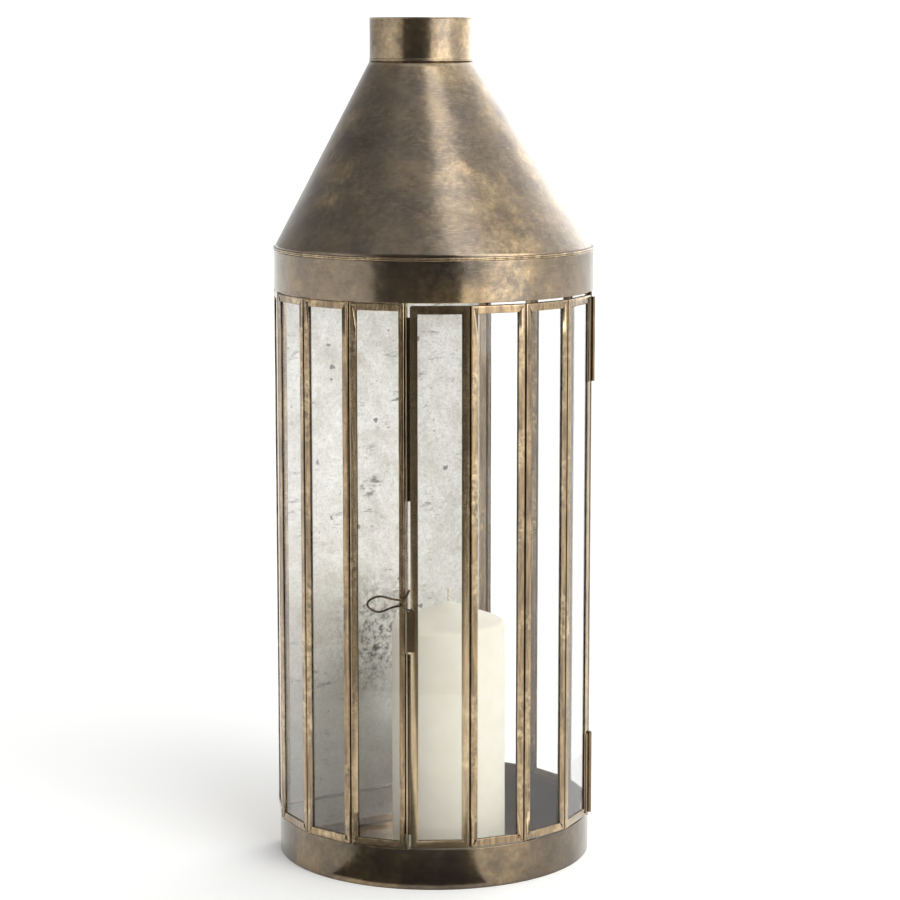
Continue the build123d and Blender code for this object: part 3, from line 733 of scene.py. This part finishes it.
def channel_tree():
    """Sweeps the channel's outline round a rectangle, with mitred corners and hand-bent bars."""
    tree, start, end = node_tree("mitred_channel_frame", {
        "Width": "Float", "Height": "Float", "Left Bar": "Float", "Right Bar": "Float", "Rail": "Float",
        "Bow": "Float", "Seed": "Float", "Look": "Material"})

    outline = add(tree, "GeometryNodeMeshToCurve", {"Mesh": start["Geometry"]}).outputs[0]
    outline, section = captured(tree, outline, "section")
    window = add(tree, "GeometryNodeCurvePrimitiveQuadrilateral", {
        "Width": start["Width"], "Height": start["Height"]}).outputs[0]
    window = add(tree, "GeometryNodeSubdivideCurve", {"Curve": window, "Cuts": 14}).outputs[0]
    window, rail = captured(tree, window, "rail")
    swept = add(tree, "GeometryNodeCurveToMesh", {"Curve": window, "Profile Curve": outline}).outputs[0]
    across = add(tree, "ShaderNodeSeparateXYZ", {"Vector": section}).outputs
    along = add(tree, "ShaderNodeSeparateXYZ", {"Vector": rail}).outputs

    def moved_in(value, size, bar):
        """A coordinate round the window, moved in by its share of the bar where it is outermost."""
        limit = add(tree, "ShaderNodeMath", {0: size, 1: 0.4999}, operation="MULTIPLY").outputs[0]
        away = add(tree, "ShaderNodeMath", {0: value}, operation="ABSOLUTE").outputs[0]
        outermost = add(tree, "ShaderNodeMath", {0: away, 1: limit}, operation="GREATER_THAN").outputs[0]
        way = add(tree, "ShaderNodeMath", {0: value}, operation="SIGN").outputs[0]
        side = add(tree, "ShaderNodeMath", {0: outermost, 1: way}, operation="MULTIPLY").outputs[0]
        reach = add(tree, "ShaderNodeMath", {0: across["X"], 1: bar}, operation="MULTIPLY").outputs[0]
        inward = add(tree, "ShaderNodeMath", {0: reach, 1: side}, operation="MULTIPLY").outputs[0]
        return add(tree, "ShaderNodeMath", {0: value, 1: inward}, operation="SUBTRACT").outputs[0]

    on_right = add(tree, "ShaderNodeMath", {0: along["X"], 1: 0.0}, operation="GREATER_THAN").outputs[0]
    wider = add(tree, "ShaderNodeMath", {0: start["Right Bar"], 1: start["Left Bar"]}, operation="SUBTRACT")
    bar = add(tree, "ShaderNodeMath", {0: wider.outputs[0], 1: on_right, 2: start["Left Bar"]},
              operation="MULTIPLY_ADD").outputs[0]
    x = moved_in(along["X"], start["Width"], bar)
    z = moved_in(along["Y"], start["Height"], start["Rail"])
    there = add(tree, "ShaderNodeCombineXYZ", {"X": x, "Y": across["Y"], "Z": z}).outputs[0]
    wander = add(tree, "ShaderNodeTexNoise", {"Vector": there, "W": start["Seed"], "Scale": per(70),
                                              "Detail": 1.0}, noise_dimensions="4D").outputs["Color"]
    # Sideways a bar wanders both ways, but from its face only inwards, to stay inside the lantern's size.
    offset = add(tree, "ShaderNodeVectorMath", {0: wander, 1: (0.5, 0.0, 0.5)}, operation="SUBTRACT")
    scaled = add(tree, "ShaderNodeVectorMath", {0: offset.outputs[0], "Scale": start["Bow"]},
                 operation="SCALE")
    moved = add(tree, "ShaderNodeVectorMath", {0: there, 1: scaled.outputs[0]}, operation="ADD").outputs[0]
    placed = add(tree, "GeometryNodeSetPosition", {"Geometry": swept, "Position": moved}).outputs[0]
    finished(tree, placed, start["Look"], end)
    return tree


CHANNEL_TREE = channel_tree()
BOW = 0.25 * MM                # how far a bar may wander from straight, end to end


def make_frame(node, pane, body, number):
    """Replaces a CAD frame with the hand-bent channel one."""
    profile = line_mesh(node + "_outline", [channel_profile(pane.depth, pane.left_bar)], closed=True)
    centre = Matrix.Translation(((pane.left + pane.right) / 2, pane.face, (pane.bottom + pane.top) / 2))
    mesh = grow(node + "_channel", CHANNEL_TREE, profile, {
        "Width": pane.right - pane.left, "Height": pane.top - pane.bottom, "Left Bar": pane.left_bar,
        "Right Bar": pane.right_bar, "Rail": pane.rail, "Bow": BOW, "Seed": float(number)},
        pane.turn @ centre, CHANNEL)
    fit(new_piece(node + "_channel", mesh, CHANNEL), body, "brass_channel", node)


def soften(node):
    """Gives soft edges to a frame that is cut for a hinge or the handle, on a merged copy of it."""
    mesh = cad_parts[node].data.copy()
    close_up(mesh, 1e-6)
    piece = new_piece(node + "_channel", mesh, CHANNEL)
    bevel = piece.modifiers.new("soft_edges", "BEVEL")
    bevel.width = 0.6 * MM
    bevel.segments = 3
    bevel.limit_method = "ANGLE"
    bevel.angle_limit = math.radians(40)
    bevel.harden_normals = True
    return piece


FIXED = {f"{side}_frame_{n}": f"{side}_glass_{n}" for side in ("left", "right") for n in range(1, 5)}
DOOR = {f"door_frame_{n}": f"door_glass_{n}" for n in range(1, 5)}
BACK = {"mirror_frame": "mirror_glass"}
CUT_FRAMES = ("door_frame_1", "door_frame_4", "right_frame_1")

panes = {}
for number, (frame_node, glass_node) in enumerate([*FIXED.items(), *DOOR.items(), *BACK.items()]):
    body = "door" if frame_node in DOOR else "casing"
    panes[frame_node] = Pane(frame_node, glass_node)
    if frame_node in CUT_FRAMES:
        fit(soften(frame_node), body, "brass_channel", frame_node)
    else:
        make_frame(frame_node, panes[frame_node], body, number)


# ---------------------------------------------------------------- solder

BEAD_STEP = 0.8 * MM           # from one ring of a bead's skin to the next


def bead_tree():
    """A lumpy bead along each line: its size swells and shrinks at random."""
    tree, start, end = node_tree("soldered_bead", {
        "Radius": "Float", "Lump Length": "Float", "Seed": "Float", "Look": "Material"})
    line = add(tree, "GeometryNodeMeshToCurve", {"Mesh": start["Geometry"]}).outputs[0]
    line = add(tree, "GeometryNodeResampleCurve", {"Curve": line, "Length": BEAD_STEP},
               mode="LENGTH").outputs[0]
    spot = add(tree, "GeometryNodeInputPosition").outputs[0]
    scale = add(tree, "ShaderNodeMath", {0: 1.0, 1: start["Lump Length"]}, operation="DIVIDE").outputs[0]
    lumps = add(tree, "ShaderNodeTexNoise", {
        "Vector": spot, "W": start["Seed"], "Scale": scale, "Detail": 2.0}, noise_dimensions="4D")
    swell = add(tree, "ShaderNodeMapRange", {
        "Value": lumps.outputs["Fac"], "From Min": 0.35, "From Max": 0.7, "To Min": 0.35,
        "To Max": 1.25}).outputs[0]
    size = add(tree, "ShaderNodeMath", {0: swell, 1: start["Radius"]}, operation="MULTIPLY").outputs[0]
    line = add(tree, "GeometryNodeSetCurveRadius", {"Curve": line, "Radius": size}).outputs[0]
    ring = add(tree, "GeometryNodeCurvePrimitiveCircle", {"Radius": 1.0, "Resolution": 8}).outputs[0]
    radius = add(tree, "GeometryNodeInputRadius").outputs[0]
    bead = add(tree, "GeometryNodeCurveToMesh", {
        "Curve": line, "Profile Curve": ring, "Scale": radius, "Fill Caps": True})
    finished(tree, bead.outputs[0], start["Look"], end)
    return tree


BEAD_TREE = bead_tree()
BEAD_INSET = 1.0 * MM          # from the ends of a rail
BEAD_DEPTH = 0.5 * MM          # behind the frames' face, where the rail meets the sheet
MITRE_DEPTH = 0.26 * MM        # behind the face, so that a bead in a corner stays inside the size
MITRE_REACH = (0.15, 0.9)      # where a corner's bead starts and ends, from outer to inner corner


def make_bead(name, lines, radius, lump, seed, body):
    """Solder along lines, as one piece."""
    mesh = grow(name, BEAD_TREE, line_mesh(name + "_lines", lines), {
        "Radius": radius, "Lump Length": lump, "Seed": seed}, Matrix.Identity(4), SOLDER)
    fit(new_piece(name, mesh, SOLDER), body, "brass_channel")


def rail_line(pane, height):
    """The line where a pane's rail meets the sheet."""
    return [pane.place(x, BEAD_DEPTH, height) for x in (pane.left + BEAD_INSET, pane.right - BEAD_INSET)]


def mitre_lines(pane):
    """The lines of a frame's four mitres."""
    lines = []
    for x, x_in in ((pane.left, pane.left + pane.left_bar), (pane.right, pane.right - pane.right_bar)):
        for z, z_in in ((pane.bottom, pane.bottom + pane.rail), (pane.top, pane.top - pane.rail)):
            lines.append([pane.place(x + share * (x_in - x), MITRE_DEPTH, z + share * (z_in - z))
                          for share in MITRE_REACH])
    return lines


foot_lines, head_lines, door_lines = [], [], []
for node in FIXED:
    foot_lines += [rail_line(panes[node], panes[node].bottom), *mitre_lines(panes[node])]
    head_lines.append(rail_line(panes[node], panes[node].top))
for node in DOOR:
    door_lines += mitre_lines(panes[node])
make_bead("foot_solder", foot_lines, 0.36 * MM, 5 * MM, 1.0, "casing")
make_bead("head_solder", head_lines, 0.32 * MM, 6 * MM, 2.0, "casing")
make_bead("door_solder", door_lines, 0.32 * MM, 3 * MM, 3.0, "door")


# ---------------------------------------------------------------- handle binding

WIRE_RADIUS = 0.75 * MM        # the handle's own wire
STAPLE_REACH = 4.1 * MM        # from the door's free edge out to the loop's neck
LOOP_HALF = 5.2 * MM           # half the loop's height
BINDING_RADIUS = 0.5 * MM      # the thinner wire wound round it
BINDING_TURNS = 3.0
TURN_PITCH = 2.1               # from turn to turn, in radii of the wire
BINDING_HEIGHTS = (2.2 * MM, -1.9 * MM)


def coil_tree():
    """Close turns of wire round a leg."""
    tree, start, end = node_tree("wire_binding", {
        "Turns": "Float", "Coil Radius": "Float", "Wire Radius": "Float", "Look": "Material"})
    pitch = add(tree, "ShaderNodeMath", {0: start["Wire Radius"], 1: TURN_PITCH},
                operation="MULTIPLY").outputs[0]
    length = add(tree, "ShaderNodeMath", {0: pitch, 1: start["Turns"]}, operation="MULTIPLY").outputs[0]
    spiral = add(tree, "GeometryNodeCurveSpiral", {
        "Resolution": 24, "Rotations": start["Turns"], "Start Radius": start["Coil Radius"],
        "End Radius": start["Coil Radius"], "Height": length}).outputs[0]
    ring = add(tree, "GeometryNodeCurvePrimitiveCircle", {
        "Radius": start["Wire Radius"], "Resolution": 10}).outputs[0]
    coil = add(tree, "GeometryNodeCurveToMesh", {"Curve": spiral, "Profile Curve": ring, "Fill Caps": True})
    finished(tree, coil.outputs[0], start["Look"], end)
    return tree


def make_binding():
    """Turns that bind the loop's two legs to the staple."""
    pane = panes["door_frame_1"]
    low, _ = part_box("handle_wire")
    loop_height = low.z + LOOP_HALF + WIRE_RADIUS
    tree = coil_tree()
    half_length = BINDING_TURNS / 2 * TURN_PITCH * BINDING_RADIUS
    meshes = []
    for up in BINDING_HEIGHTS:
        centre = pane.place(pane.left - STAPLE_REACH, -WIRE_RADIUS, loop_height + up)
        meshes.append(grow("binding", tree, line_mesh("binding_seed", [[(0, 0, 0), (0, 0, MM)]]), {
            "Turns": BINDING_TURNS, "Coil Radius": WIRE_RADIUS + 0.6 * BINDING_RADIUS,
            "Wire Radius": BINDING_RADIUS},
            Matrix.Translation(centre - Vector((0, 0, half_length))), FITTINGS))
    fit(joined("handle_binding", meshes, FITTINGS), "door", "brass_fittings")


make_binding()


# ---------------------------------------------------------------- candle

WAX_WAVE = 40 * MM             # how tall the swells in the poured sides are
WAX_WOBBLE = 0.3 * MM          # and how deep
CANDLE_ROUND = 128
CANDLE_PEAK = 14.7 * MM        # rise of the top, from its edge to the wick
CANDLE_SHOULDER = 5.0 * MM
CANDLE_FOOT = 0.6 * MM         # bevel of the bottom edge
WICK_BORE = 1.0 * MM
WALL_STEPS, SHOULDER_STEPS, TOP_STEPS = 24, 12, 16


def lathe(name, profile, centre, look, steps, wobble):
    """Closed turned shape: the profile runs (radius, height), from the axis back to the axis."""
    shape = bmesh.new()
    rows = []
    for radius, height in profile:
        if radius <= 0:
            rows.append([shape.verts.new(centre + Vector((0, 0, height)))])
            continue
        row = []
        for step in range(steps):
            angle = 2 * math.pi * step / steps
            way = Vector((math.sin(angle), -math.cos(angle), 0))
            cloud = noise.noise(Vector((way.x * 1.3, way.y * 1.3, height / WAX_WAVE)))
            press = wobble * (0.5 + 0.5 * cloud)
            row.append(shape.verts.new(centre + way * (radius - press) + Vector((0, 0, height))))
        rows.append(row)
    for lower, upper in zip(rows, rows[1:]):
        for step in range(steps):
            following = (step + 1) % steps
            if len(lower) == 1:
                shape.faces.new((lower[0], upper[following], upper[step]))
            elif len(upper) == 1:
                shape.faces.new((lower[step], lower[following], upper[0]))
            else:
                shape.faces.new((lower[step], lower[following], upper[following], upper[step]))
    bmesh.ops.recalc_face_normals(shape, faces=shape.faces)
    mesh = bpy.data.meshes.new(name)
    shape.to_mesh(mesh)
    shape.free()
    return new_piece(name, mesh, look)


def make_candle():
    """Pillar candle: straight sides, a rounded shoulder and a low cone up to the wick."""
    low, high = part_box("candle")
    centre = Vector(((low.x + high.x) / 2, (low.y + high.y) / 2, low.z))
    radius = (high.x - low.x) / 2
    height = high.z - low.z
    wall = height - CANDLE_PEAK
    slope = math.atan2(CANDLE_PEAK, radius - WICK_BORE)
    cut = CANDLE_SHOULDER * math.tan(math.pi / 4 - slope / 2)
    profile = [(radius * share, 0.0) for share in (0.0, 0.4, 0.8, 0.97)]
    profile += [(radius - CANDLE_FOOT / 2, CANDLE_FOOT / 6), (radius, CANDLE_FOOT)]
    profile += [(radius, (wall - cut) * step / WALL_STEPS) for step in range(1, WALL_STEPS + 1)]
    for step in range(1, SHOULDER_STEPS + 1):
        turn = (math.pi / 2 - slope) * step / SHOULDER_STEPS
        profile.append((radius - CANDLE_SHOULDER * (1 - math.cos(turn)),
                        wall - cut + CANDLE_SHOULDER * math.sin(turn)))
    rim, foot = profile[-1]
    for step in range(1, TOP_STEPS + 1):
        reach = rim * (1 - step / TOP_STEPS)
        profile.append((reach, min(height, foot + (rim - reach) * math.tan(slope))))
    candle = lathe("pillar_candle", profile, centre, WAX, CANDLE_ROUND, WAX_WOBBLE)
    fit(candle, "candle", "candle_wax", "candle")


WICK_STEPS, WICK_ROUND = 60, 24
STRAND_DIP = 0.18              # groove between two strands, as a share of the wick's radius
STRAND_TWIST = 1.6 * MM        # height in which the strands turn by one radian
WICK_END = 0.75                # the cut end's width, as a share of the rest


def make_wick():
    """Three strands twisted together, with a cut end."""
    low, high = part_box("wick")
    centre = Vector(((low.x + high.x) / 2, (low.y + high.y) / 2, 0))
    radius = (high.x - low.x) / 2
    rings = []
    for step in range(WICK_STEPS + 1):
        height = low.z + (high.z - low.z) * step / WICK_STEPS
        taper = 1.0 if step < WICK_STEPS - 2 else WICK_END
        ring = []
        for number in range(WICK_ROUND):
            angle = 2 * math.pi * number / WICK_ROUND
            bulge = 1 - STRAND_DIP + STRAND_DIP * abs(math.cos(1.5 * (angle - height / STRAND_TWIST)))
            way = Vector((math.sin(angle), -math.cos(angle), 0))
            ring.append(centre + way * radius * bulge * taper + Vector((0, 0, height)))
        rings.append(ring)
    wick = loft("twisted_wick", rings, COTTON, closed=False)
    shape = bmesh.new()
    shape.from_mesh(wick.data)
    bmesh.ops.holes_fill(shape, edges=[edge for edge in shape.edges if edge.is_boundary])
    bmesh.ops.recalc_face_normals(shape, faces=shape.faces)
    shape.to_mesh(wick.data)
    shape.free()
    fit(wick, "candle", "cotton_wick", "wick")


make_candle()
make_wick()


# ---------------------------------------------------------------- CAD nodes that are shown as they are

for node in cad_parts:
    if node == "mirror_glass":
        repaint(node, MIRROR)
    elif "glass" in node:
        repaint(node, GLASS)
    elif node in ("floor_plate", "back_sheet"):
        repaint(node, SHEET)
    elif "hinge" in node or node.startswith("handle"):
        repaint(node, FITTINGS)
    elif node in ("edge_lip", "upper_door_stop", "lower_door_stop"):
        repaint(node, CHANNEL)


# ---------------------------------------------------------------- camera, light and floor

CAMERA_DISTANCE = 1.8816       # from the lantern's axis, level
CAMERA_HEIGHT = 0.5724
CAMERA_AZIMUTH = math.radians(-33.07)
CAMERA_TILT = math.radians(8.603)
CAMERA_PAN = math.radians(0.349145)   # how far the lens looks to the right of the lantern's axis
CAMERA_LENS = 107.39
SENSOR = 36.0
CAMERA_SEES = 100.0            # farthest thing that it shows


def make_camera():
    """Camera in front and to the left, a little above the lantern's middle, looking down at it."""
    lens = bpy.data.cameras.new("camera")
    lens.lens = CAMERA_LENS
    lens.sensor_width = SENSOR
    lens.clip_end = CAMERA_SEES
    camera = bpy.data.objects.new("camera", lens)
    bpy.context.scene.collection.objects.link(camera)
    away = Vector((math.sin(CAMERA_AZIMUTH), -math.cos(CAMERA_AZIMUTH), 0))
    camera.location = away * CAMERA_DISTANCE + Vector((0, 0, CAMERA_HEIGHT))
    camera.rotation_euler = (math.pi / 2 - CAMERA_TILT, 0, CAMERA_AZIMUTH - CAMERA_PAN)
    bpy.context.scene.camera = camera


# Brightness of the studio round the lantern: degrees from the camera, positive to its right.
LOW_STUDIO = ((-180, 0.8), (-145, 0.45), (-120, 0.3), (-100, 0.45), (-84, 0.8), (-64, 0.95), (-52, 0.5),
              (-36, 0.12), (13, 0.10), (24, 1.3), (36, 2.1), (66, 2.4), (85, 1.3), (110, 1.5),
              (135, 2.6), (160, 2.0), (180, 0.8))
HIGH_STUDIO = ((-180, 0.5), (-145, 0.35), (-110, 0.3), (-80, 0.34), (-50, 0.45), (-36, 0.24),
               (-20, 0.20), (3, 0.18), (12, 1.6), (22, 3.6), (48, 3.5), (64, 1.1), (95, 0.9),
               (130, 1.6), (160, 1.4), (180, 0.5))
BRIGHTEST = 3.6                # the tables' largest, which the colour ramps divide by
BACKDROP = 1.1                 # plain white that the camera sees
TIERS_MEET = (0.25, 0.60)      # the low tier gives way to the high one, as shares of straight up
CEILING = (0.85, 1.0)          # and the high one to the ceiling
CEILING_GREY = (0.3, 0.3, 0.3, 1)


def studio_tier(tree, share, levels):
    """Ring of lights at one height, read off its table by the angle's share of a turn."""
    ramp = add(tree, "ShaderNodeValToRGB", {"Fac": share})
    stops = ramp.color_ramp.elements
    for number, (degrees, level) in enumerate(levels):
        place = (degrees + 180) / 360
        stop = stops[number] if number < 2 else stops.new(place)
        stop.position = place
        stop.color = (*[level / BRIGHTEST] * 3, 1)
    return ramp.outputs["Color"]


def make_world():
    """White studio: a bright window to the right, a dimmer one to the left and a dark room between."""
    world = bpy.data.worlds.new("studio")
    bpy.context.scene.world = world
    world.use_nodes = True
    tree = world.node_tree
    tree.nodes.clear()
    way = add(tree, "ShaderNodeTexCoord").outputs["Generated"]
    turned = add(tree, "ShaderNodeVectorRotate", {"Vector": way, "Angle": -CAMERA_AZIMUTH},
                 rotation_type="Z_AXIS")
    across = add(tree, "ShaderNodeSeparateXYZ", {"Vector": turned.outputs[0]}).outputs
    ahead = add(tree, "ShaderNodeMath", {0: across["Y"], 1: -1.0}, operation="MULTIPLY").outputs[0]
    angle = add(tree, "ShaderNodeMath", {0: across["X"], 1: ahead}, operation="ARCTAN2").outputs[0]
    share = add(tree, "ShaderNodeMapRange", {
        "Value": angle, "From Min": -math.pi, "From Max": math.pi}).outputs[0]
    room = studio_tier(tree, share, LOW_STUDIO)
    for (start, end), tier in ((TIERS_MEET, studio_tier(tree, share, HIGH_STUDIO)), (CEILING, CEILING_GREY)):
        climb = add(tree, "ShaderNodeMapRange", {"Value": across["Z"], "From Min": start, "From Max": end})
        room = layer(tree, room, tier, climb.outputs[0])
    lit = add(tree, "ShaderNodeBackground", {"Color": room, "Strength": BRIGHTEST})
    white = add(tree, "ShaderNodeBackground", {"Color": (1, 1, 1, 1), "Strength": BACKDROP})
    path = add(tree, "ShaderNodeLightPath")
    mix = add(tree, "ShaderNodeMixShader", {
        0: path.outputs["Is Camera Ray"], 1: lit.outputs[0], 2: white.outputs[0]})
    add(tree, "ShaderNodeOutputWorld", {"Surface": mix.outputs[0]})


FLOOR_HALF = 40.0
FLAG_START, FLAG_SWEEP, FLAG_STEPS = -42, 62, 16     # degrees from the camera
FLAG_RIMS = (0.116, 0.25, 0.66, 1.3, 1.3)            # how far each edge of the cloth is from the axis
FLAG_HEIGHTS = (0.0015, 0.0015, 0.0015, 0.0015, 1.6)
FLAG_GAP = 1                                         # between its second and third edges floor shows
AIM_HEIGHT = 0.3                                     # the lantern's middle


def make_floor():
    """Pale matt floor, with a faint glow that keeps it near white in the lantern's shade."""
    look, tree = material("pale_studio_floor")
    finish(look, add(tree, "ShaderNodeBsdfPrincipled", {
        "Base Color": linear("#f7f7f5"), "Roughness": 0.9, "Emission Color": (1, 1, 1, 1),
        "Emission Strength": 0.15}))
    half, level = FLOOR_HALF, cad_low.z
    mesh = bpy.data.meshes.new("floor")
    mesh.from_pydata([(-half, -half, level), (half, -half, level), (half, half, level), (-half, half, level)],
                     [], [(0, 1, 2, 3)])
    new_piece("floor", mesh, look, smooth=False)


def make_flag():
    """Dark cloth in front, from the floor up, that only reflections see: it stands for the dark room."""
    look, tree = material("black_flag_cloth")
    finish(look, add(tree, "ShaderNodeBsdfPrincipled", {"Base Color": linear("#383633"), "Roughness": 1.0}))
    points, faces = [], []
    for step in range(FLAG_STEPS + 1):
        turn = CAMERA_AZIMUTH + math.radians(FLAG_START + FLAG_SWEEP * step / FLAG_STEPS)
        for distance, height in zip(FLAG_RIMS, FLAG_HEIGHTS):
            points.append((distance * math.sin(turn), -distance * math.cos(turn), height))
    for step in range(FLAG_STEPS):
        for row in range(len(FLAG_RIMS) - 1):
            if row == FLAG_GAP:
                continue
            first = step * len(FLAG_RIMS) + row
            after = first + len(FLAG_RIMS)
            faces.append((first, after, after + 1, first + 1))
    mesh = bpy.data.meshes.new("dark_flag")
    mesh.from_pydata(points, [], faces)
    flag = new_piece("dark_flag", mesh, look)
    for ray in ("visible_camera", "visible_diffuse", "visible_shadow", "visible_transmission"):
        setattr(flag, ray, False)


def softbox(name, angle, distance, height, width, tall, power):
    """A tall soft light at an angle from the camera's side, facing the lantern."""
    light = bpy.data.lights.new(name, "AREA")
    light.shape = "RECTANGLE"
    light.size = width
    light.size_y = tall
    light.energy = power
    box = bpy.data.objects.new(name, light)
    bpy.context.scene.collection.objects.link(box)
    turn = CAMERA_AZIMUTH + math.radians(angle)
    box.location = (distance * math.sin(turn), -distance * math.cos(turn), height)
    aim = Vector((0, 0, AIM_HEIGHT)) - box.location
    box.rotation_euler = aim.to_track_quat("-Z", "Y").to_euler()
    box.visible_camera = False


make_camera()
make_world()
make_floor()
make_flag()
softbox("right_softbox", angle=52, distance=1.8, height=0.9, width=1.0, tall=1.6, power=6)
bpy.context.scene.view_settings.view_transform = "Standard"
